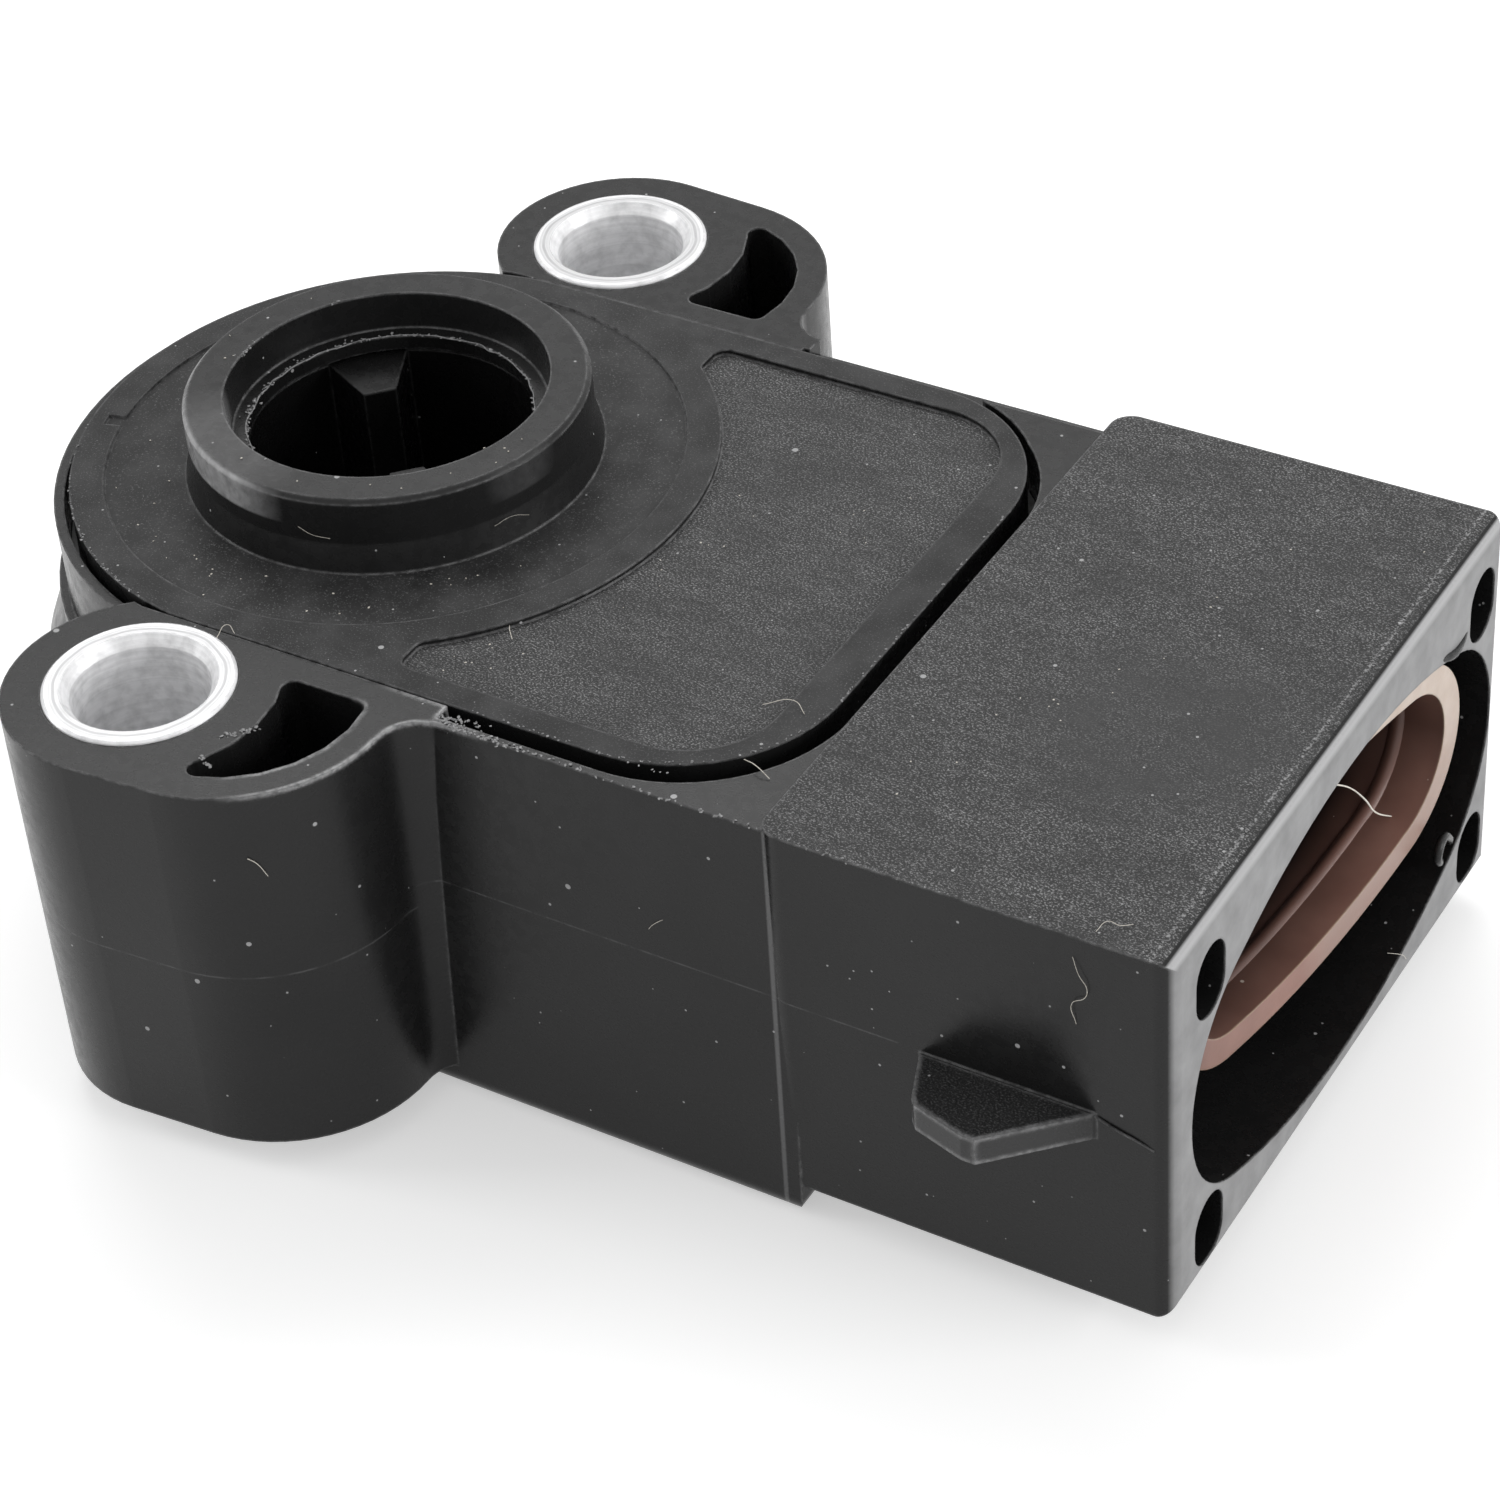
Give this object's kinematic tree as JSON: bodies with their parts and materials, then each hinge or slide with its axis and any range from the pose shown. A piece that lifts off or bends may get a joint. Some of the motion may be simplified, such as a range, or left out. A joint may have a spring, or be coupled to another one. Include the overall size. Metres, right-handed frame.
{
  "type": "throttle position sensor",
  "caption": "Moulded rotary position sensor with two bushed screw ears, a spigot over a sprung drive socket, and a square plug shroud with a silicone seal.",
  "frame": {"origin": "on the rotor axis, in the mounting face that meets the throttle body, midway between the two screws", "axes": "+Z out of the mounting face along the rotor axis, +X towards the connector, +Y across to the far screw"},
  "size_m": [0.0611, 0.0482, 0.0235],
  "materials": {
    "black_plastic": "black glass-filled nylon, satin, with fine bright fibre flecks and dust",
    "cover_plastic": "black glass-filled nylon, satin, lightly brushed",
    "rotor_plastic": "black moulded acetal, satin",
    "aluminium": "turned aluminium with fine tool rings",
    "silicone": "translucent brown-pink silicone, satin",
    "tinned_brass": "tin-plated brass, bright",
    "sealant": "black cured sealant, glossy",
    "spring_bronze": "spring bronze, bright",
    "spring_steel": "spring steel, bright",
    "ceramic": "white alumina ceramic, matt",
    "carbon_ink": "printed carbon film, matt",
    "silver_ink": "printed silver and solder, bright"
  },
  "bodies": {
    "housing": {"housing": "black_plastic", "cover": "cover_plastic", "bush_near": "aluminium", "bush_far": "aluminium", "connector_seal": "silicone", "terminal_supply": "tinned_brass", "terminal_signal": "tinned_brass", "terminal_ground": "tinned_brass", "terminal_sealant": "sealant", "cover_sealant": "sealant", "thrust_washer": "spring_steel", "return_spring": "spring_steel", "resistor_board": "ceramic", "resistance_track": "carbon_ink", "collector_track": "carbon_ink", "conductor_pads": "silver_ink", "solder_joints": "silver_ink"},
    "rotor": {"rotor": "rotor_plastic", "wiper": "spring_bronze", "wiper_rivets": "spring_bronze"}
  },
  "joints": [
    {"name": "rotor_turn", "type": "hinge", "parent": "housing", "child": "rotor", "pos_m": [0, 0, 0], "axis": [0, 0, 1], "range_deg": [0, 95], "stiffness_Nm_per_rad": 0.008, "springref_deg": -40.11}
  ]
}
